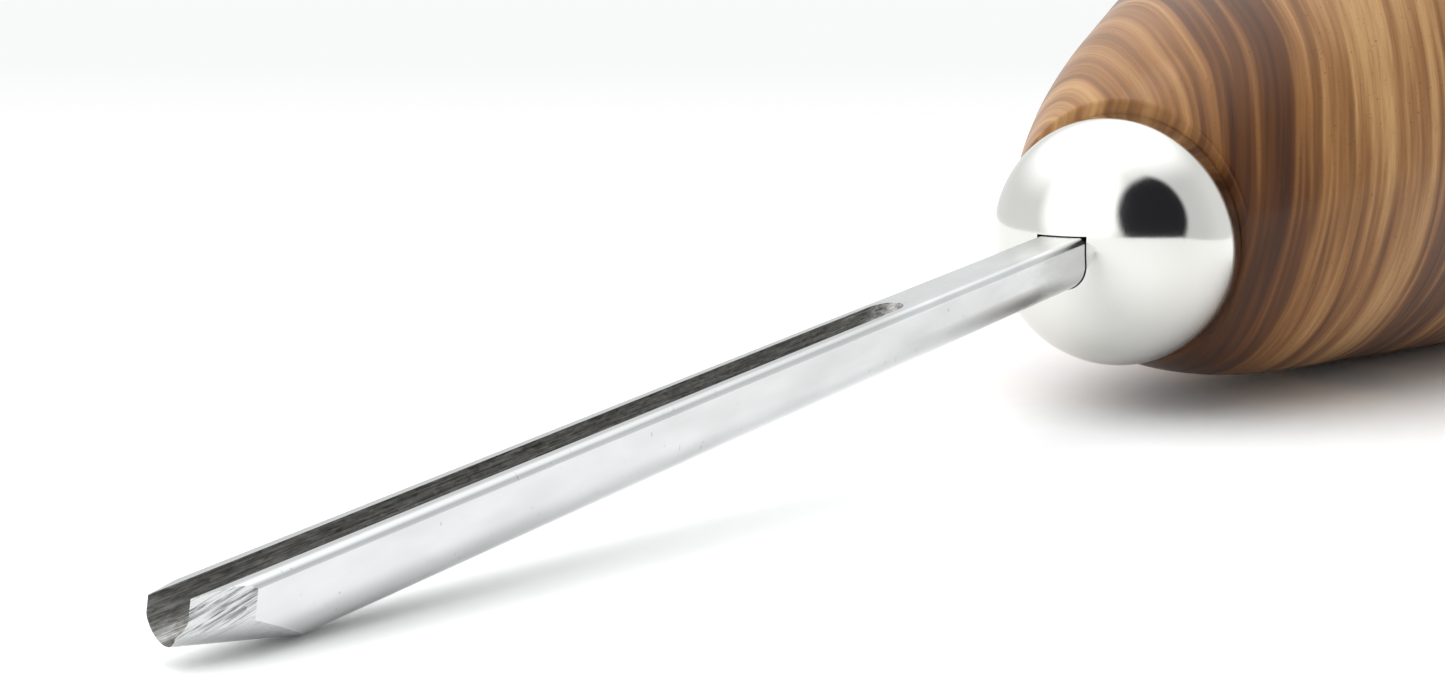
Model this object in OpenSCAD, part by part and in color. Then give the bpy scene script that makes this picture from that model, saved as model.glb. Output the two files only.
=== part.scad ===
// Lino cutter: a small U-gouge with a domed ferrule cap and a turned palm handle.
// The tool lies as it rests on a table: the heel of its bevel and the flat under
// its handle touch z = 0, the cutting end points to -X and the flute opens upward.
// The origin is on the flat under the handle. Millimetres, +Z up.

/* [Blade] */
// Width of the U-shaped bar
bar_w = 2.9; // [2.4:0.1:3.6]
// Height of the bar
bar_h = 2.87; // [2.7:0.01:3.2]
// Length from the cutting edge to the nose of the ferrule cap
exposed_len = 53.1; // [48:0.1:60]
// Thickness of the side walls beside the flute
wall_t = 0.625; // [0.4:0.005:0.8]
// Depth of the flute
flute_depth = 1.48; // [1.3:0.01:1.7]
// Length of the flute at full depth
flute_len = 35.5; // [25:0.5:38]
// Radius of the wheel that cut the flute, seen where it runs out
flute_wheel_r = 3.8; // [3:0.1:6]
// Length of the tang behind the nose of the cap
tang_len = 40; // [30:1:48]
// Length of the tang's straight part inside the wood
tang_straight = 2; // [1:0.5:5]
// Size of the square end of the tang
tang_end = 1; // [0.6:0.1:1.6]

/* [Cutting end] */
// Angle of the outside bevel
bevel_angle = 17; // [14:0.5:24]
// Angle by which the cutting edge is out of square, seen from above
edge_skew = 17; // [10:1:17]
// Angle by which the top corners of the cutting edge lean back
edge_rake = 18; // [18:1:24]
// Length honed off the very edge, which leaves its lowest part with a real thickness
edge_hone = 0.05; // [0.03:0.01:0.1]

/* [Ferrule cap] */
// Outer diameter of the cap
cap_d = 14; // [12.5:0.1:15]
// Length of the domed part
dome_len = 5.6; // [5.4:0.1:6]
// Radius of the shoulder that joins the dome to the rim
dome_shoulder_r = 4.5; // [4:0.1:4.8]
// Length of the straight rim
rim_len = 1.3; // [1:0.1:2]
// Wall thickness of the cap
cap_t = 0.6; // [0.4:0.05:0.8]
// Gap around the shank in the cap's slot
slot_gap = 0.05; // [0.02:0.01:0.15]

/* [Handle] */
// Radius of the wood at the cap
neck_r = 7.4; // [7.2:0.05:7.6]
// Steepest flare of the wood, at the cap
neck_angle = 30; // [28:0.5:34]
// Flare of the straight taper
taper_angle = 15; // [14.5:0.1:15.5]
// Distance from the cap to the start of the taper
neck_len = 12; // [11:0.5:13]
// Distance from the cap to the end of the taper
taper_end = 36; // [35:0.5:37]
// Radius of the curve over the belly
belly_curve_r = 50; // [45:1:55]
// Radius of the round edge between the belly and the butt
butt_edge_r = 13; // [11:0.5:15]
// Radius of the crowned butt
butt_crown_r = 42; // [36:1:55]

/* [Rest] */
// Angle of the blade above the table
blade_rise = 8.9; // [8.8:0.05:9]
// Further rise of the handle's axis
handle_lift = 4; // [3.9:0.05:4.1]

/* [Hidden] */
$fn = 128;
// Margin by which a cutting shape stands past the solid that it cuts
margin = 1;
// A length that is more than any part of the tool
beyond = 200;
// The neck curve starts this far before the plane that trims the lifted handle
neck_overrun = 1.5;

// Section of the bar, measured across and up from the blade's own axis
half_w = bar_w / 2;
bar_top = bar_h / 2;
bar_round_z = half_w - bar_top;
flute_r = half_w - wall_t;
flute_floor = bar_top - flute_depth;
flute_z = flute_floor + flute_r;

// The bevel ends where its cone meets the underside of the bar
heel_x = (flute_z + bar_top - flute_r) / tan(bevel_angle);
bevel_len = heel_x + margin;
bevel_gain = bevel_len * tan(bevel_angle);

// Places along the blade's axis, from the cutting edge
cap_r = cap_d / 2;
wood_x = exposed_len + dome_len + rim_len;
dome_end_x = exposed_len + dome_len;
tang_end_x = exposed_len + tang_len;
tang_taper_x = wood_x + tang_straight;

// The dome is a crown whose sphere runs tangent into the shoulder's ring
ring_r = cap_r - dome_shoulder_r;
crown_excess = dome_len - dome_shoulder_r;
crown_r = (pow(dome_len, 2) - pow(dome_shoulder_r, 2) + pow(ring_r, 2)) / (2 * crown_excess);
crown_x = exposed_len + crown_r;

// Handle profile: a neck curve, a straight taper, a belly curve, an edge and a crown,
// each tangent to the next, measured along and out from the handle's own axis
neck_curve_r = neck_len / (sin(neck_angle) - sin(taper_angle));
neck_start = -neck_overrun;
taper_r = neck_r + neck_curve_r * (cos(taper_angle) - cos(neck_angle));
taper_end_r = taper_r + (taper_end - neck_len) * tan(taper_angle);
belly_x = taper_end + belly_curve_r * sin(taper_angle);
belly_r = taper_end_r + belly_curve_r * (1 - cos(taper_angle));
butt_ring_r = belly_r - butt_edge_r;
butt_rise = sqrt(pow(butt_crown_r - butt_edge_r, 2) - pow(butt_ring_r, 2));

// How the tool lies: the heel of the bevel touches the table
handle_rise = blade_rise + handle_lift;
tip_z = bar_top * cos(blade_rise) - heel_x * sin(blade_rise);

// Lowest point of the belly curve, where the small flat is
low_x = taper_end + belly_curve_r * (sin(taper_angle) - sin(handle_rise));
low_r = taper_end_r + belly_curve_r * (cos(handle_rise) - cos(taper_angle));
tip_x = -(wood_x * cos(blade_rise) + low_x * cos(handle_rise) + low_r * sin(handle_rise));

// A point outside the tool, on the ray that starts at one point and passes through another
function past(start, through) = start + (through - start) * beyond / norm(through - start);

// Puts what is drawn along the blade's axis, cutting edge at x = 0, where it rests
module at_rest() {
    translate([tip_x, 0, tip_z]) rotate([0, -blade_rise, 0]) children();
}

// Turns a profile (radius, distance) about the X axis
module turned() {
    rotate([0, 90, 0]) rotate_extrude() children();
}

// Section of the bar, a U with a round bottom
module bar_section(extra = 0) {
    translate([0, bar_round_z]) circle(r = half_w + extra);
    translate([-half_w - extra, bar_round_z]) square([bar_w + 2 * extra, bar_top + extra - bar_round_z]);
}

module bar(x0, x1, extra = 0) {
    translate([x0, 0, 0]) rotate([90, 0, 90]) linear_extrude(x1 - x0) bar_section(extra);
}

// The flute is open at the top and runs out on the radius of the wheel that cut it
module flute() {
    translate([-margin, 0, 0]) rotate([90, 0, 90]) linear_extrude(flute_len + margin) {
        translate([0, flute_z]) circle(r = flute_r);
        translate([-flute_r, flute_z]) square([2 * flute_r, flute_depth]);
    }
    translate([flute_len, 0, flute_floor + flute_wheel_r]) rotate([90, 0, 0]) rotate_extrude() {
        translate([flute_wheel_r - flute_r, 0]) circle(r = flute_r);
        translate([0, -flute_r]) square([flute_wheel_r - flute_r, 2 * flute_r]);
    }
}

// The rolled part of the outside bevel: a cone below the flute's centre, slanted sides above it
module bevel_envelope() {
    translate([0, 0, flute_z]) rotate([0, 90, 0])
        cylinder(h = bevel_len, r1 = flute_r, r2 = flute_r + bevel_gain);
    translate([0, 0, flute_z]) linear_extrude(flute_depth)
        polygon([
            [0, -flute_r],
            [bevel_len, -flute_r - bevel_gain],
            [bevel_len, flute_r + bevel_gain],
            [0, flute_r]
        ]);
    translate([bevel_len, -beyond / 2, -beyond / 2]) cube(beyond);
}

// The flat ground on the outside of one wall. Its plane meets the inside of the wall in a line
// that leans back, and it falls away from the wall at the bevel angle. Side is -1 or 1.
module wall_flat(side) {
    flat_angle = atan(tan(bevel_angle) / cos(edge_rake));
    translate([-side * flute_r * tan(edge_skew), side * flute_r, flute_floor])
        rotate([0, edge_rake, 0]) rotate([0, 0, side * flat_angle])
            translate([-beyond / 2, side > 0 ? 0 : -beyond, -beyond / 2]) cube(beyond);
}

// The tang is the bar at first and then tapers in width and in height
module tang() {
    bar(exposed_len, tang_taper_x);
    intersection() {
        bar(tang_taper_x, tang_end_x);
        translate([0, 0, -beyond / 2]) linear_extrude(beyond) taper_plan(half_w);
        rotate([90, 0, 0]) translate([0, 0, -beyond / 2]) linear_extrude(beyond) taper_plan(bar_top);
    }
}

module taper_plan(half) {
    polygon([
        [tang_taper_x, -half],
        [tang_end_x, -tang_end / 2],
        [tang_end_x, tang_end / 2],
        [tang_taper_x, half]
    ]);
}

// Dome and rim as one turned solid, made smaller all round by inset
module domed_plug(inset = 0) {
    shoulder_r = dome_shoulder_r - inset;
    turned() {
        translate([0, dome_end_x]) square([cap_r - inset, rim_len]);
        intersection() {
            translate([ring_r, dome_end_x]) circle(r = shoulder_r);
            translate([0, dome_end_x - shoulder_r]) square([cap_r, shoulder_r]);
        }
        intersection() {
            translate([0, crown_x]) circle(r = crown_r - inset);
            polygon([
                [0, dome_end_x],
                [0, dome_end_x - beyond],
                past([0, crown_x], [ring_r, dome_end_x]),
                [ring_r, dome_end_x]
            ]);
        }
    }
}

module gouge_blade() {
    color("lightsteelblue") at_rest() {
        difference() {
            intersection() {
                bar(edge_hone, exposed_len);
                bevel_envelope();
            }
            flute();
            wall_flat(-1);
            wall_flat(1);
        }
        tang();
    }
}

module ferrule_cap() {
    color("gainsboro") at_rest() difference() {
        domed_plug();
        domed_plug(cap_t);
        bar(exposed_len - margin, dome_end_x, slot_gap);
    }
}

// Outline of the wood along the handle's axis
module handle_profile() {
    intersection() {
        translate([taper_r - neck_curve_r * cos(taper_angle), neck_len + neck_curve_r * sin(taper_angle)])
            circle(r = neck_curve_r);
        translate([0, neck_start]) square([belly_r, neck_len - neck_start]);
    }
    polygon([[0, neck_len], [taper_r, neck_len], [taper_end_r, taper_end], [0, taper_end]]);
    intersection() {
        translate([belly_r - belly_curve_r, belly_x]) circle(r = belly_curve_r);
        translate([0, taper_end]) square([belly_r, belly_x - taper_end]);
    }
    translate([0, belly_x]) intersection() {
        union() {
            translate([butt_ring_r, 0]) circle(r = butt_edge_r);
            intersection() {
                translate([0, -butt_rise]) circle(r = butt_crown_r);
                polygon([
                    [0, 0],
                    [0, beyond],
                    past([0, -butt_rise], [butt_ring_r, 0]),
                    [butt_ring_r, 0]
                ]);
            }
        }
        square([belly_r, butt_crown_r]);
    }
}

module palm_handle() {
    color("sienna") difference() {
        at_rest() difference() {
            union() {
                difference() {
                    translate([wood_x, 0, 0]) rotate([0, -handle_lift, 0]) turned() handle_profile();
                    translate([wood_x - beyond, -beyond / 2, -beyond / 2]) cube(beyond);
                }
                domed_plug(cap_t);
            }
            tang();
        }
        translate([-beyond / 2, -beyond / 2, -beyond]) cube(beyond);
    }
}

gouge_blade();
ferrule_cap();
palm_handle();
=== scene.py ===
"""A lino cutter on a pale table: its looks, its light and its camera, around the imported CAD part.

Sizes are in millimetres, as in the CAD source, and become metres where a mesh is made.
Three frames are used. The row frame is the CAD's. The blade frame has x along the blade from the
cutting edge and z out of the flute. The handle frame starts at the end of the cap and is lifted from it.
"""
import math

import bmesh
import bpy
import numpy as np
from mathutils import Matrix, Vector


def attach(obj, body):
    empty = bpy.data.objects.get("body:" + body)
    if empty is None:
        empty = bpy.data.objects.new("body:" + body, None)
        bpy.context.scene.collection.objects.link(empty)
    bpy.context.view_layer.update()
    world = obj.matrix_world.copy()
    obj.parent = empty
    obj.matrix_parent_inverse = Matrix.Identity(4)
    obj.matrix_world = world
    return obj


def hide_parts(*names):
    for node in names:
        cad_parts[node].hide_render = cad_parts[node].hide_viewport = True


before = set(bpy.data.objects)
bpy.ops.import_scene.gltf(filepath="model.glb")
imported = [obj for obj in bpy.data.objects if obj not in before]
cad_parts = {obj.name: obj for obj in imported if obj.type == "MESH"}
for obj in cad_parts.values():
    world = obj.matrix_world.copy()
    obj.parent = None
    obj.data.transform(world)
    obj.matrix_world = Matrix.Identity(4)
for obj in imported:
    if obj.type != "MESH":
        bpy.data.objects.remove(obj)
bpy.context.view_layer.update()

MM = 0.001

# Blade, from part.scad
BAR_W = 2.9
BAR_H = 2.87
EXPOSED_LEN = 53.1
WALL_T = 0.625
FLUTE_DEPTH = 1.48
FLUTE_LEN = 35.5
FLUTE_WHEEL_R = 3.8
TANG_LEN = 40.0
TANG_STRAIGHT = 2.0
TANG_END = 1.0
BEVEL_ANGLE = math.radians(17)
EDGE_SKEW = math.radians(17)
EDGE_RAKE = math.radians(18)
EDGE_HONE = 0.05

# Cap and handle, from part.scad
CAP_R = 7.0
DOME_LEN = 5.6
DOME_SHOULDER_R = 4.5
RIM_LEN = 1.3
CAP_T = 0.6
SLOT_GAP = 0.05
NECK_R = 7.4
NECK_ANGLE = math.radians(30)
TAPER_ANGLE = math.radians(15)
NECK_LEN = 12.0
TAPER_END = 36.0
BELLY_CURVE_R = 50.0
BUTT_EDGE_R = 13.0
BUTT_CROWN_R = 42.0
BLADE_RISE = math.radians(8.9)
HANDLE_LIFT = math.radians(4)

# Details that only the visible pieces have
TOP_CORNER_R = 0.35     # rounding along the outer top edges of the bar
WOOD_EDGE_R = 0.15      # rounding of the wood's front edge
RIM_EDGE_R = 0.15       # rounding of the cap's rim
LAND_FADE = 0.05        # the painted shade on the lands is full from this far below the bar's top up
FIT_GAP = 0.02          # keeps touching pieces from sharing a surface
LEAN_FADE = 3.0         # the wood's front edge leans as the cap's rim does, fading out over this length
LEAST_LEAN = 0.05       # below this a column of the bevel cannot meet the flat ground on its wall

# Derived, as in part.scad
HALF_W = BAR_W / 2
BAR_TOP = BAR_H / 2
BAR_ROUND_Z = HALF_W - BAR_TOP
FLUTE_R = HALF_W - WALL_T
FLUTE_FLOOR = BAR_TOP - FLUTE_DEPTH
FLUTE_Z = FLUTE_FLOOR + FLUTE_R
HEEL_X = (FLUTE_Z + BAR_TOP - FLUTE_R) / math.tan(BEVEL_ANGLE)
WOOD_X = EXPOSED_LEN + DOME_LEN + RIM_LEN
TANG_TAPER_X = WOOD_X + TANG_STRAIGHT
TANG_END_X = EXPOSED_LEN + TANG_LEN
NECK_CURVE_R = NECK_LEN / (math.sin(NECK_ANGLE) - math.sin(TAPER_ANGLE))
TAPER_R = NECK_R + NECK_CURVE_R * (math.cos(TAPER_ANGLE) - math.cos(NECK_ANGLE))
TAPER_END_R = TAPER_R + (TAPER_END - NECK_LEN) * math.tan(TAPER_ANGLE)
BELLY_X = TAPER_END + BELLY_CURVE_R * math.sin(TAPER_ANGLE)
BELLY_R = TAPER_END_R + BELLY_CURVE_R * (1 - math.cos(TAPER_ANGLE))
BUTT_RING_R = BELLY_R - BUTT_EDGE_R
BUTT_RISE = math.sqrt((BUTT_CROWN_R - BUTT_EDGE_R) ** 2 - BUTT_RING_R ** 2)
HANDLE_RISE = BLADE_RISE + HANDLE_LIFT
TIP_Z = BAR_TOP * math.cos(BLADE_RISE) - HEEL_X * math.sin(BLADE_RISE)
LOW_X = TAPER_END + BELLY_CURVE_R * (math.sin(TAPER_ANGLE) - math.sin(HANDLE_RISE))
LOW_R = TAPER_END_R + BELLY_CURVE_R * (math.cos(HANDLE_RISE) - math.cos(TAPER_ANGLE))
TIP_X = -(WOOD_X * math.cos(BLADE_RISE) + LOW_X * math.cos(HANDLE_RISE) + LOW_R * math.sin(HANDLE_RISE))

BLADE_FRAME = Matrix.Translation((TIP_X, 0, TIP_Z)) @ Matrix.Rotation(-BLADE_RISE, 4, "Y")
HANDLE_FRAME = BLADE_FRAME @ Matrix.Translation((WOOD_X, 0, 0)) @ Matrix.Rotation(-HANDLE_LIFT, 4, "Y")

# Meshing: points round each turned piece, and how close points and how short edges may be, in metres
AROUND = 256
TURNS = [2 * math.pi * k / AROUND for k in range(AROUND)]
MERGE_DIST = 1e-6
LEAST_EDGE = 1e-8

# Edges sharper than these are shaded as creases
BLADE_CREASE = math.radians(9)
CAP_CREASE = math.radians(25)
WOOD_CREASE = math.radians(30)


# ---------------------------------------------------------------- mesh helpers

def make_piece(name, points, faces, materials=(), face_material=None):
    """A mesh object from row-frame points in millimetres, cleaned and with outward normals."""
    mesh = bpy.data.meshes.new(name)
    mesh.from_pydata([Vector(p) * MM for p in points], [], faces)
    for material in materials:
        mesh.materials.append(material)
    if face_material:
        mesh.polygons.foreach_set("material_index", face_material)
    work = bmesh.new()
    work.from_mesh(mesh)
    bmesh.ops.remove_doubles(work, verts=work.verts, dist=MERGE_DIST)
    bmesh.ops.dissolve_degenerate(work, edges=work.edges, dist=LEAST_EDGE)
    bmesh.ops.recalc_face_normals(work, faces=work.faces)
    work.to_mesh(mesh)
    work.free()
    piece = bpy.data.objects.new(name, mesh)
    bpy.context.scene.collection.objects.link(piece)
    return piece


def smooth(piece, angle):
    """Smooth shading, apart from edges sharper than angle."""
    piece.data.shade_smooth()
    piece.data.set_sharp_from_angle(angle=angle)


def rings_to_faces(count, around):
    """Quads between rings of points, each ring closed, first and last ring left open."""
    faces = []
    for ring in range(count - 1):
        for k in range(around):
            k_next = (k + 1) % around
            a, b = ring * around, (ring + 1) * around
            faces.append((a + k, a + k_next, b + k_next, b + k))
    return faces


def turned(matrix, outline):
    """Rings of points round the x axis of a frame, one ring for each (x, radius) of the outline."""
    return [
        matrix @ Vector((x, radius * math.sin(a), radius * math.cos(a)))
        for x, radius in outline
        for a in TURNS
    ]


def cut_away(piece, cutter):
    """Subtracts cutter from piece and removes it."""
    boolean = piece.modifiers.new("cut", "BOOLEAN")
    boolean.operation = "DIFFERENCE"
    boolean.solver = "EXACT"
    boolean.object = cutter
    depsgraph = bpy.context.evaluated_depsgraph_get()
    result = bpy.data.meshes.new_from_object(piece.evaluated_get(depsgraph))
    piece.modifiers.clear()
    old = piece.data
    piece.data = result
    bpy.data.meshes.remove(old)
    bpy.data.objects.remove(cutter)


def arc(centre, radius, start, end, steps):
    """Points on an arc, from angle start to angle end, both included."""
    return [
        (centre[0] + radius * math.cos(a), centre[1] + radius * math.sin(a))
        for a in np.linspace(start, end, steps + 1)
    ]


# ---------------------------------------------------------------- blade

def bar_half_width(z):
    """Half the width of the bar at height z, above its round bottom."""
    corner_z = BAR_TOP - TOP_CORNER_R
    if z <= corner_z:
        return HALF_W
    drop = math.sqrt(max(TOP_CORNER_R ** 2 - (z - corner_z) ** 2, 0))
    return HALF_W - TOP_CORNER_R + drop


def bar_reach(angle):
    """Distance from the flute's centre line to the bar's outside, angle measured down from level."""
    side, down = math.cos(angle), math.sin(angle)
    if abs(side) > 1e-9:
        reach = HALF_W / abs(side)
        if FLUTE_Z - reach * down >= BAR_ROUND_Z:
            return reach
    drop = FLUTE_Z - BAR_ROUND_Z
    return drop * down + math.sqrt(HALF_W ** 2 - (drop * side) ** 2)


def wall_columns():
    """Columns round the U from the near top to the far top.

    Each is its inner point (y, z), its direction out (y, z) and the wall's thickness that way.
    """
    corner_steps, wall_steps, under_steps = 14, 4, 120
    turns = np.linspace(math.pi / 2, 0, corner_steps + 1)
    corner = [BAR_TOP - TOP_CORNER_R * (1 - math.sin(a)) for a in turns]
    heights = corner + list(np.linspace(BAR_TOP - TOP_CORNER_R, FLUTE_Z, wall_steps + 1)[1:])
    near = [(-FLUTE_R, z, -1.0, 0.0, bar_half_width(z) - FLUTE_R) for z in heights]
    far = [(FLUTE_R, z, 1.0, 0.0, out) for _, z, _, _, out in reversed(near)]
    below = []
    for angle in np.linspace(0, math.pi, under_steps + 1)[1:-1]:
        out_y, out_z = -math.cos(angle), -math.sin(angle)
        inner = (out_y * FLUTE_R, FLUTE_Z + out_z * FLUTE_R)
        below.append((*inner, out_y, out_z, bar_reach(angle) - FLUTE_R))
    return near + below + far


def bevel_line(y, z, out_y, out_z, wall):
    """Where a column's bevel starts, leaves the flat ground on its wall for the rolled cone, and ends.

    Each place is (x, wall thickness there). On the cone the thickness is x * widen. On the wall's
    flat it is (x - lag) * widen / lean, and the thinner of the two is what the grinding leaves.
    """
    widen, rake, skew = math.tan(BEVEL_ANGLE), math.tan(EDGE_RAKE), math.tan(EDGE_SKEW)
    wall_side = -1 if y < 0 else 1
    lean = wall_side * out_y + widen * rake * out_z
    lag = (z - FLUTE_FLOOR) * rake - wall_side * FLUTE_R * skew - (FLUTE_R - wall_side * y) / widen
    meets_flat = lean >= LEAST_LEAN

    def thickness(x):
        if meets_flat:
            return min(x * widen, (x - lag) * widen / lean)
        return x * widen

    start_x = max(EDGE_HONE, lag) if meets_flat else EDGE_HONE
    end_x = max(wall / widen, lag + wall * lean / widen) if meets_flat else wall / widen
    switch_x = start_x
    if lag > 0:
        switch_x = lag / (1 - lean) if lag < end_x * (1 - lean) else end_x
    switch_x = min(max(switch_x, start_x), end_x)
    return [(x, max(thickness(x), 0)) for x in (start_x, switch_x, end_x)]


def make_blade(materials):
    """The U-gouge: bevelled outside, fluted inside, then a solid shank and a tapered tang."""
    flat_rows, cone_rows, flute_rows, runout_rows = 6, 6, 12, 16
    wheel_z = FLUTE_FLOOR + FLUTE_WHEEL_R
    points, faces, kinds = [], [], []
    side, bevel, flute = 0, 1, 2

    def add(x, y, z):
        points.append(BLADE_FRAME @ Vector((x, y, z)))
        return len(points) - 1

    def skin(strips, kind_of_row):
        for left, right in zip(strips, strips[1:]):
            for row in range(len(left) - 1):
                faces.append((left[row], left[row + 1], right[row + 1], right[row]))
                kinds.append(kind_of_row(row))

    outer, inner = [], []
    for y, z, out_y, out_z, wall in wall_columns():
        start, switch, end = bevel_line(y, z, out_y, out_z, wall)
        on_flat = np.linspace(start, switch, flat_rows + 1)
        on_cone = np.linspace(switch, end, cone_rows + 1)[1:]
        column = [add(x, y + out_y * t, z + out_z * t) for x, t in (*on_flat, *on_cone)]
        outside_y, outside_z = y + out_y * wall, z + out_z * wall
        for x in (FLUTE_LEN, EXPOSED_LEN, TANG_TAPER_X):
            column.append(add(x, outside_y, outside_z))
        shrink_y, shrink_z = TANG_END / 2 / HALF_W, TANG_END / 2 / BAR_TOP
        column.append(add(TANG_END_X, outside_y * shrink_y, outside_z * shrink_z))
        outer.append(column)

        column = [add(x, y, z) for x in np.linspace(start[0], FLUTE_LEN, flute_rows + 1)]
        arm = wheel_z - z
        leave = math.acos(min(1, (wheel_z - BAR_TOP) / arm))
        for turn in np.linspace(0, leave, runout_rows + 1)[1:]:
            column.append(add(FLUTE_LEN + arm * math.sin(turn), y, wheel_z - arm * math.cos(turn)))
        inner.append(column)

    skin(outer, lambda row: bevel if row < flat_rows + cone_rows else side)
    skin(inner, lambda row: flute)
    skin([[o[0] for o in outer], [i[0] for i in inner]], lambda row: bevel)
    near, far = outer[0], outer[-1]
    slot_end = [column[-1] for column in inner]
    far_rim, near_rim = inner[-1][:flute_rows + 1], inner[0][flute_rows::-1]
    top = near[:-1] + far[-2::-1] + far_rim + slot_end[::-1] + near_rim
    tail = [column[-1] for column in outer]
    faces.extend([top, (near[-2], near[-1], far[-1], far[-2]), tail])
    kinds.extend([side, side, side])
    piece = make_piece("blade_steel_gouge", points, faces, materials, kinds)
    smooth(piece, BLADE_CREASE)
    return piece


def bar_prism(name, start_x, end_x, gap):
    """A straight length of the bar's section, gap wider all round, for cutting.

    Its round has an even number of points, so none lies on y = 0, where the turned pieces have theirs.
    """
    half, top = HALF_W + gap, BAR_TOP + gap
    round_points = 34
    turns = np.linspace(0, math.pi, round_points)
    under = [(half * math.cos(a), BAR_ROUND_Z - half * math.sin(a)) for a in turns]
    outline = [(half, top)] + under + [(-half, top)]
    around = len(outline)
    points = [BLADE_FRAME @ Vector((x, y, z)) for x in (start_x, end_x) for y, z in outline]
    ends = [tuple(range(around)), tuple(range(around, 2 * around))]
    return make_piece(name, points, rings_to_faces(2, around) + ends)


def tang_prism(name, gap):
    """The tang's own shape, gap wider all round, for cutting its hole in the wood."""
    piece = bar_prism(name, EXPOSED_LEN - CAP_R, TANG_TAPER_X, gap)
    mesh = piece.data
    into_blade = BLADE_FRAME.inverted()
    work = bmesh.new()
    work.from_mesh(mesh)
    back = [f for f in work.faces if all((into_blade @ (v.co / MM)).x > WOOD_X for v in f.verts)]
    made = bmesh.ops.extrude_face_region(work, geom=back)
    for v in [g for g in made["geom"] if isinstance(g, bmesh.types.BMVert)]:
        place = into_blade @ (v.co / MM)
        place.x = TANG_END_X + gap
        place.y *= TANG_END / 2 / HALF_W
        place.z *= TANG_END / 2 / BAR_TOP
        v.co = (BLADE_FRAME @ place) * MM
    bmesh.ops.delete(work, geom=back, context="FACES_ONLY")
    bmesh.ops.recalc_face_normals(work, faces=work.faces)
    work.to_mesh(mesh)
    work.free()
    return piece


# ---------------------------------------------------------------- ferrule cap

def plug_outline(inset, steps):
    """(x, radius) of the domed plug along the blade, from its nose to the end of its rim."""
    ring_r = CAP_R - DOME_SHOULDER_R
    dome_end_x = EXPOSED_LEN + DOME_LEN
    crown_r = (DOME_LEN ** 2 - DOME_SHOULDER_R ** 2 + ring_r ** 2) / (2 * (DOME_LEN - DOME_SHOULDER_R))
    join = math.atan2(ring_r, crown_r - DOME_LEN)
    crown = arc((EXPOSED_LEN + crown_r, 0), -(crown_r - inset), 0, -join, steps)
    shoulder = arc((dome_end_x, ring_r), -(DOME_SHOULDER_R - inset), -join, -math.pi / 2, steps)
    return crown + shoulder[1:] + [(WOOD_X, CAP_R - inset)]


def make_cap(material):
    """A thin domed shell with a rounded rim and a slot that the shank passes through."""
    outside_steps, rim_steps, inside_steps = 40, 6, 24
    outside = plug_outline(0, outside_steps)[:-1]
    rim_x = WOOD_X - FIT_GAP
    rim = arc((rim_x - RIM_EDGE_R, CAP_R - RIM_EDGE_R), RIM_EDGE_R, math.pi / 2, 0, rim_steps)
    inside = plug_outline(CAP_T, inside_steps)[::-1]
    inside[0] = (rim_x, inside[0][1])
    outline = outside + rim + inside
    faces = rings_to_faces(len(outline), AROUND)
    piece = make_piece("cap_domed_shell", turned(BLADE_FRAME, outline), faces, [material])
    cut_away(piece, bar_prism("slot_cutter", EXPOSED_LEN - CAP_R, EXPOSED_LEN + DOME_LEN, SLOT_GAP))
    smooth(piece, CAP_CREASE)
    return piece


# ---------------------------------------------------------------- handle

def handle_radius(x):
    """Radius of the turned wood at x along the handle's own axis."""
    if x < NECK_LEN:
        along = NECK_LEN + NECK_CURVE_R * math.sin(TAPER_ANGLE) - x
        return TAPER_R - NECK_CURVE_R * math.cos(TAPER_ANGLE) + math.sqrt(NECK_CURVE_R ** 2 - along ** 2)
    if x < TAPER_END:
        return TAPER_R + (x - NECK_LEN) * math.tan(TAPER_ANGLE)
    return BELLY_R - BELLY_CURVE_R + math.sqrt(BELLY_CURVE_R ** 2 - (BELLY_X - x) ** 2)


def make_handle(material):
    """The turned palm handle: nose inside the cap, flared neck, belly, crowned butt and rest flat."""
    nose_steps, front_steps, body_steps, edge_steps, crown_steps = 16, 6, 89, 40, 24
    lift = math.tan(HANDLE_LIFT)
    points = turned(BLADE_FRAME, plug_outline(CAP_T + FIT_GAP, nose_steps))

    # The front edge is rounded and lies in the plane of the cap's rim, not square to the handle's axis
    front = [WOOD_EDGE_R * (1 - math.cos(a)) for a in np.linspace(0, math.pi / 2, front_steps + 1)]
    body = front + list(np.linspace(WOOD_EDGE_R, BELLY_X, body_steps + 1)[1:])
    for x in body:
        for a in TURNS:
            start = handle_radius(0) * math.cos(a) * lift
            start = handle_radius(start) * math.cos(a) * lift
            place = x + start * max(0, 1 - x / LEAN_FADE)
            inward = WOOD_EDGE_R - x
            shy = WOOD_EDGE_R - math.sqrt(WOOD_EDGE_R ** 2 - inward ** 2) if inward > 0 else 0
            radius = handle_radius(place) - shy
            points.append(HANDLE_FRAME @ Vector((place, radius * math.sin(a), radius * math.cos(a))))

    join = math.atan2(BUTT_RING_R, BUTT_RISE)
    butt_edge = arc((BELLY_X, BUTT_RING_R), BUTT_EDGE_R, math.pi / 2, join, edge_steps)[1:]
    butt_crown = arc((BELLY_X - BUTT_RISE, 0), BUTT_CROWN_R, join, 0, crown_steps)[1:]
    points += turned(HANDLE_FRAME, butt_edge + butt_crown)

    # The flat: whatever would pass through the table is planed off level with it
    points = [Vector((p.x, p.y, max(p.z, 0))) for p in points]
    faces = rings_to_faces(len(points) // AROUND, AROUND)
    piece = make_piece("handle_turned_wood", points, faces, [material])
    cut_away(piece, tang_prism("tang_cutter", FIT_GAP))
    smooth(piece, WOOD_CREASE)
    return piece


# ---------------------------------------------------------------- materials

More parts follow.
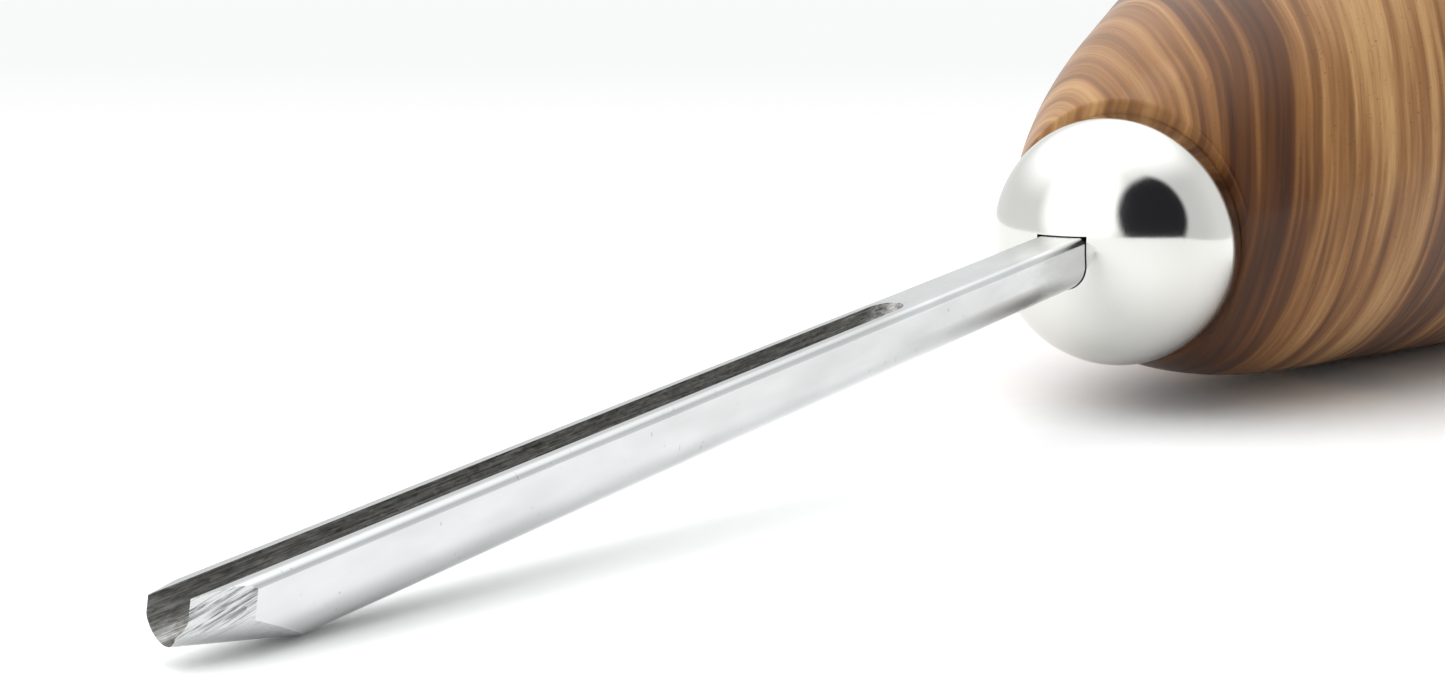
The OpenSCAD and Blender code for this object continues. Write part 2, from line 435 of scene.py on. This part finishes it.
class Nodes:
    """A material's node tree, with short calls for the nodes that the materials here use."""

    def __init__(self, name):
        self.material = bpy.data.materials.new(name)
        self.material.use_nodes = True
        self.tree = self.material.node_tree
        self.bsdf = self.tree.nodes["Principled BSDF"]

    def add(self, kind, **inputs):
        node = self.tree.nodes.new(kind)
        for key, value in inputs.items():
            self.feed(node, key.replace("_", " "), value)
        return node

    def feed(self, node, key, value):
        socket = node.inputs[int(key) if key.isdigit() else key]
        if isinstance(value, bpy.types.NodeSocket):
            self.tree.links.new(value, socket)
        else:
            socket.default_value = value

    def set(self, **inputs):
        for key, value in inputs.items():
            self.feed(self.bsdf, key.replace("_", " "), value)

    def place(self, frame_matrix, turn=(0, 0, 0)):
        """Object coordinates in metres, turned into the blade's or the handle's frame."""
        coords = self.add("ShaderNodeTexCoord").outputs["Object"]
        mapping = self.add("ShaderNodeMapping", Vector=coords)
        mapping.vector_type = "TEXTURE"
        mapping.inputs["Location"].default_value = frame_matrix.translation * MM
        mapping.inputs["Rotation"].default_value = frame_matrix.to_euler()
        if not any(turn):
            return mapping.outputs[0]
        second = self.add("ShaderNodeMapping", Vector=mapping.outputs[0])
        second.inputs["Rotation"].default_value = turn
        return second.outputs[0]

    def noise(self, vector, size, detail=3.0, roughness=0.55, distortion=0.0):
        """Noise whose features are about size = (x, y, z) millimetres."""
        stretch = self.add("ShaderNodeVectorMath", **{"0": vector})
        stretch.operation = "MULTIPLY"
        stretch.inputs[1].default_value = [1 / (s * MM) for s in size]
        node = self.add("ShaderNodeTexNoise", Vector=stretch.outputs[0])
        node.inputs["Scale"].default_value = 1.0
        node.inputs["Detail"].default_value = detail
        node.inputs["Roughness"].default_value = roughness
        node.inputs["Distortion"].default_value = distortion
        return node.outputs["Fac"]

    def ramp(self, value, *stops):
        """Colours or grey levels at positions along value."""
        node = self.add("ShaderNodeValToRGB", Fac=value)
        elements = node.color_ramp.elements
        while len(elements) < len(stops):
            elements.new(0.5)
        for element, (position, colour) in zip(elements, stops):
            element.position = position
            grey = isinstance(colour, (int, float))
            element.color = (colour, colour, colour, 1) if grey else (*colour, 1)
        return node.outputs["Color"]

    def levels(self, value, low, high, to_low=0.0, to_high=1.0):
        """value from low..high spread over to_low..to_high and held there."""
        node = self.add("ShaderNodeMapRange", Value=value)
        node.inputs["From Min"].default_value = low
        node.inputs["From Max"].default_value = high
        node.inputs["To Min"].default_value = to_low
        node.inputs["To Max"].default_value = to_high
        return node.outputs["Result"]

    def mix(self, factor, a, b, blend="MIX"):
        node = self.tree.nodes.new("ShaderNodeMix")
        node.data_type = "RGBA"
        node.blend_type = blend
        self.feed(node, "0", factor)
        for slot, value in (("6", a), ("7", b)):
            self.feed(node, slot, value if isinstance(value, bpy.types.NodeSocket) else (*value, 1))
        return node.outputs[2]

    def maths(self, operation, a, b):
        node = self.tree.nodes.new("ShaderNodeMath")
        node.operation = operation
        self.feed(node, "0", a)
        self.feed(node, "1", b)
        return node.outputs[0]

    def bump(self, height, depth, under=None):
        """A bump whose height 0..1 stands for depth millimetres."""
        node = self.add("ShaderNodeBump", Height=height)
        node.inputs["Distance"].default_value = depth * MM
        node.inputs["Strength"].default_value = 1.0
        if under is not None:
            self.tree.links.new(under, node.inputs["Normal"])
        return node.outputs["Normal"]


def side_steel():
    """Satin steel with polishing lines along the bar and the odd handling mark."""
    m = Nodes("satin_steel")
    place = m.place(BLADE_FRAME)
    lines = m.noise(place, (9, 0.05, 0.05), detail=4)
    clouds = m.noise(place, (4, 1.2, 1.2), detail=2)
    marks = m.levels(m.noise(place, (0.2, 0.5, 0.3), detail=1), 0.72, 0.78)
    colour = m.mix(m.levels(clouds, 0.3, 0.7), (0.60, 0.608, 0.613), (0.68, 0.688, 0.695))
    colour = m.mix(m.maths("MULTIPLY", marks, 0.7), colour, (0.4, 0.4, 0.41))

    # Painted shade: the lands beside the flute are coloured darker, and the top of the shank only a
    # little, so that they mirror less of the overhead light
    where = m.add("ShaderNodeSeparateXYZ", Vector=place)
    on_top = m.levels(where.outputs["Z"], (BAR_TOP - TOP_CORNER_R) * MM, (BAR_TOP - LAND_FADE) * MM)
    flute_end, shank_start = FLUTE_LEN * MM, (FLUTE_LEN + FLUTE_WHEEL_R) * MM
    top_shade_fade = m.levels(where.outputs["X"], flute_end, shank_start, 0.8, 0.15)
    colour = m.mix(m.maths("MULTIPLY", on_top, top_shade_fade), colour, (0.44, 0.445, 0.45))
    m.set(Base_Color=colour, Metallic=1.0, Roughness=m.levels(lines, 0.3, 0.7, 0.13, 0.24))
    m.set(Normal=m.bump(lines, 0.002, under=m.bump(marks, 0.004)))
    return m.material


SCRATCH_SLOPE = math.radians(17)        # how steeply the stone's scratches climb across a wall's flat


def bevel_steel():
    """The ground bevel: stone scratches climb across the walls' flats, and the rolled part is smooth."""
    m = Nodes("ground_bevel_steel")
    place = m.place(BLADE_FRAME, turn=(0, SCRATCH_SLOPE, 0))
    coarse = m.noise(place, (2.2, 9, 0.07), detail=3, roughness=0.7, distortion=0.15)
    deep = m.noise(place, (1.3, 9, 0.12), detail=1, distortion=0.1)
    fine = m.noise(place, (1.4, 9, 0.018), detail=3)
    patches = m.noise(place, (1.3, 9, 0.8), detail=1)
    height = m.add("ShaderNodeSeparateXYZ", Vector=m.place(BLADE_FRAME)).outputs["Z"]
    on_flat = m.levels(height, FLUTE_FLOOR * MM, FLUTE_Z * MM, 0.12, 1.0)
    cuts = m.maths("MULTIPLY", m.levels(coarse, 0.48, 0.6), m.levels(patches, 0.38, 0.55, 0.3, 1.0))
    cuts = m.maths("MAXIMUM", cuts, m.levels(deep, 0.62, 0.68))
    cuts = m.maths("MULTIPLY", cuts, on_flat)
    colour = m.mix(cuts, (0.68, 0.688, 0.693), (0.2, 0.2, 0.205))
    m.set(Base_Color=colour, Metallic=1.0, Roughness=m.levels(fine, 0.3, 0.7, 0.22, 0.4))
    m.set(Normal=m.bump(fine, 0.002, under=m.bump(cuts, -0.008)))
    return m.material


def flute_steel():
    """The milled flute, with tears and smears along it, and painted shade: its colour is much darker
    than the outside's.
    """
    m = Nodes("milled_flute_steel")
    place = m.place(BLADE_FRAME)
    lines = m.noise(place, (3, 0.06, 0.06), detail=4)
    tears = m.noise(place, (0.55, 0.4, 0.13), detail=4, roughness=0.65, distortion=0.8)
    grey = m.levels(m.maths("ADD", lines, tears), 0.75, 1.3)
    # Painted shade: the hollow's colour is kept dark overall, and the lines and tears vary it
    colour = m.ramp(
        grey,
        (0.0, (0.12, 0.115, 0.11)),
        (0.5, (0.3, 0.295, 0.285)),
        (1.0, (0.55, 0.55, 0.54)),
    )
    m.set(Base_Color=colour, Metallic=1.0, Roughness=m.levels(tears, 0.3, 0.7, 0.34, 0.52))
    m.set(Normal=m.bump(tears, 0.01, under=m.bump(lines, 0.004)))
    return m.material


def plated_metal():
    """Bright nickel plate with faint wiping marks and a slightly uneven sheet under it."""
    m = Nodes("bright_nickel_plate")
    place = m.place(BLADE_FRAME)
    swell = m.noise(place, (5, 5, 5), detail=1)
    wipes = m.noise(place, (0.35, 0.05, 0.35), detail=3)
    colour = m.mix(m.levels(swell, 0.35, 0.65), (0.66, 0.654, 0.625), (0.71, 0.705, 0.68))
    m.set(Base_Color=colour, Metallic=1.0, Roughness=m.levels(wipes, 0.35, 0.75, 0.07, 0.13))
    m.set(Normal=m.bump(wipes, 0.0006, under=m.bump(swell, 0.03)))
    return m.material


RING_WAY = Vector((0.75, -0.6, -0.28)).normalized()     # square to the growth rings, in the handle frame
BAND_SPAN = 26.0        # broad darker and lighter bands of wood lie over this depth of rings
RING_WANDER = 4.0       # how far the rings stray from flat
RING_CHANGE = 0.05      # how fast the rings' pattern changes up the handle
PAINTED_LIGHT_HEIGHT = 9.0       # painted light: the wood's colour grows lighter up to this far above the handle's axis


def lacquered_wood():
    """Reddish-brown pear wood under gloss lacquer, its growth rings crossing the handle at a slant."""
    m = Nodes("lacquered_pear_wood")
    place = m.place(HANDLE_FRAME)
    drift = m.noise(place, (26, 26, 26), detail=2)
    depth = m.add("ShaderNodeVectorMath", **{"0": place})
    depth.operation = "DOT_PRODUCT"
    depth.inputs[1].default_value = RING_WAY
    ring_depth = m.maths("ADD", depth.outputs["Value"], m.maths("MULTIPLY", drift, RING_WANDER * MM))
    height = m.add("ShaderNodeSeparateXYZ", Vector=place).outputs["Z"]
    slow = m.maths("MULTIPLY", height, RING_CHANGE)
    across = m.add("ShaderNodeCombineXYZ", X=ring_depth, Y=slow).outputs[0]
    rings = m.noise(across, (0.85, 1, 1), detail=2, roughness=0.55)
    bands = m.ramp(
        m.levels(ring_depth, 0, BAND_SPAN * MM),
        (0.0, 0.5), (0.12, 0.45), (0.24, 0.12), (0.34, 0.15),
        (0.46, 0.62), (0.72, 0.72), (0.85, 0.35), (1.0, 0.55),
    )
    fibres = m.noise(across, (0.12, 0.1, 1), detail=3)
    pores = m.levels(m.noise(place, (0.5, 0.12, 0.12), detail=1), 0.68, 0.78)
    tone = m.maths("ADD", m.maths("MULTIPLY", rings, 0.6), m.maths("MULTIPLY", bands, 0.4))
    # Painted light: the colour is made lighter towards the top of the handle
    tone = m.maths("ADD", tone, m.levels(height, 0, PAINTED_LIGHT_HEIGHT * MM, -0.035, 0.06))
    colour = m.ramp(
        m.levels(tone, 0.3, 0.66),
        (0.0, (0.045, 0.012, 0.002)),
        (0.35, (0.115, 0.039, 0.008)),
        (0.65, (0.29, 0.128, 0.037)),
        (1.0, (0.5, 0.28, 0.11)),
    )
    colour = m.mix(m.levels(fibres, 0.35, 0.7, 0.0, 0.3), colour, (0.095, 0.033, 0.008))
    colour = m.mix(m.maths("MULTIPLY", pores, 0.5), colour, (0.05, 0.02, 0.009))
    m.set(Base_Color=colour, Roughness=m.levels(fibres, 0.3, 0.7, 0.36, 0.5))
    m.set(Coat_Weight=0.32, Coat_Roughness=0.12, Coat_IOR=1.5, Specular_IOR_Level=0.1)
    m.set(Normal=m.bump(fibres, 0.004, under=m.bump(rings, 0.02)))
    return m.material


# ---------------------------------------------------------------- stage, light and camera

TABLE_HALF = 20.0       # metres, so that its far edge is lost in the haze


def pale_table():
    """A plain white table under the tool, a hair below it so that the two share no surface."""
    mesh = bpy.data.meshes.new("table_top")
    half, top = TABLE_HALF, -FIT_GAP * MM
    corners = [(-half, -half, top), (half, -half, top), (half, half, top), (-half, half, top)]
    mesh.from_pydata(corners, [], [(0, 1, 2, 3)])
    table = bpy.data.objects.new("table_top", mesh)
    bpy.context.scene.collection.objects.link(table)
    m = Nodes("matt_white")
    faint = m.noise(m.place(Matrix.Identity(4)), (2, 2, 2), detail=2)
    colour = m.mix(faint, (0.91, 0.91, 0.91), (0.94, 0.94, 0.94))
    m.set(Base_Color=colour, Roughness=0.7, Specular_IOR_Level=0.2)
    mesh.materials.append(m.material)


# The camera: where it stands, from the cutting edge and the table, and which way it looks
CAMERA_BEFORE_TIP = 24.7
CAMERA_TO_SIDE = 45.67
CAMERA_UP = 16.86
HEADING = math.radians(47.76)       # from +Y towards +X
PITCH = math.radians(7.78)          # downwards
ROLL = math.radians(-0.135)
SENSOR_W = 36
LENS = 41.08
CLIP_START = 1.0
FORWARD = Vector((
    math.cos(PITCH) * math.sin(HEADING),
    math.cos(PITCH) * math.cos(HEADING),
    -math.sin(PITCH),
))
LEVEL_RIGHT = Vector((math.cos(HEADING), -math.sin(HEADING), 0))
LEVEL_UP = LEVEL_RIGHT.cross(FORWARD)


def add_camera():
    """Close to the cutting end and a little above the table, looking towards the handle."""
    right = LEVEL_RIGHT * math.cos(ROLL) + LEVEL_UP * math.sin(ROLL)
    up = LEVEL_UP * math.cos(ROLL) - LEVEL_RIGHT * math.sin(ROLL)
    camera_data = bpy.data.cameras.new("camera")
    camera_data.sensor_width = SENSOR_W
    camera_data.lens = LENS
    camera_data.clip_start = CLIP_START * MM
    camera = bpy.data.objects.new("camera", camera_data)
    bpy.context.scene.collection.objects.link(camera)
    turn = Matrix((right, up, -FORWARD)).transposed().to_4x4()
    place = Vector((TIP_X - CAMERA_BEFORE_TIP, -CAMERA_TO_SIDE, CAMERA_UP)) * MM
    camera.matrix_world = Matrix.Translation(place) @ turn
    bpy.context.scene.camera = camera


def compass(right, up, toward_camera):
    """A direction given by how far it goes to the picture's right, up, and back towards the camera."""
    return (LEVEL_RIGHT * right + LEVEL_UP * up - FORWARD * toward_camera).normalized()


class Sky(Nodes):
    """The world's node tree, with soft-edged spots of light and dark on an even sky."""

    def __init__(self, name, colour):
        self.world = bpy.data.worlds.new(name)
        self.world.use_nodes = True
        self.tree = self.world.node_tree
        self.way = self.add("ShaderNodeTexCoord").outputs["Generated"]
        self.colour = colour

    def spot(self, middle, inner, outer, colour, blend):
        """Blends colour in within inner degrees of middle, fading out at outer degrees."""
        toward = self.tree.nodes.new("ShaderNodeVectorMath")
        toward.operation = "DOT_PRODUCT"
        self.feed(toward, "0", self.way)
        toward.inputs[1].default_value = middle
        edge = self.add("ShaderNodeMapRange", Value=toward.outputs["Value"])
        edge.interpolation_type = "SMOOTHSTEP"
        edge.inputs["From Min"].default_value = math.cos(math.radians(outer))
        edge.inputs["From Max"].default_value = math.cos(math.radians(inner))
        self.colour = self.mix(edge.outputs["Result"], self.colour, colour, blend)

    def haze(self, height, colour):
        """Blends colour in towards the horizon, from the given height as a part of the way up."""
        up = self.add("ShaderNodeSeparateXYZ", Vector=self.way).outputs["Z"]
        self.colour = self.mix(self.levels(up, 0, height, 1, 0), self.colour, colour)

    def finish(self):
        self.feed(self.tree.nodes["Background"], "Color", self.colour)
        bpy.context.scene.world = self.world


def light_room():
    """A white room, brightest overhead and at a window on the left, and a weak, wide lamp.

    It is dimmer behind the camera, where a dark patch gives the cap something to mirror.
    """
    overhead = Vector((0, 0.25, 1)).normalized()
    behind_camera = compass(0.25, 0.1, 1)
    window = compass(-0.79, 0.25, 0.55)
    dark_patch = compass(0.08, 0.2, 0.98)
    sky = Sky("white_room", (0.938, 0.955, 0.947))
    sky.haze(0.03, (1.0, 1.0, 1.0))
    sky.spot(overhead, 10, 62, (1.15, 1.15, 1.15), "ADD")
    sky.spot(behind_camera, 35, 78, (0.85, 0.85, 0.85), "MULTIPLY")
    sky.spot(window, 18, 42, (1.0, 1.0, 1.0), "ADD")
    sky.spot(dark_patch, 27, 34, (0.03, 0.03, 0.035), "MULTIPLY")
    sky.finish()

    light = bpy.data.lights.new("soft_overhead", "SUN")
    light.angle = math.radians(24)
    light.energy = 0.15
    lamp = bpy.data.objects.new("soft_overhead", light)
    shines_towards = Vector((0.05, -0.3, -1))
    lamp.rotation_euler = shines_towards.to_track_quat("-Z", "Y").to_euler()
    bpy.context.scene.collection.objects.link(lamp)
    bpy.context.scene.view_settings.view_transform = "Standard"


# ---------------------------------------------------------------- putting it together

blade = make_blade([side_steel(), bevel_steel(), flute_steel()])
cap = make_cap(plated_metal())
handle = make_handle(lacquered_wood())
for piece, node, slot in (
    (blade, "gouge_blade", "blade_steel"),
    (cap, "ferrule_cap", "plated_cap"),
    (handle, "palm_handle", "lacquered_wood"),
):
    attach(piece, "root")
    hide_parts(node)

pale_table()
add_camera()
light_room()
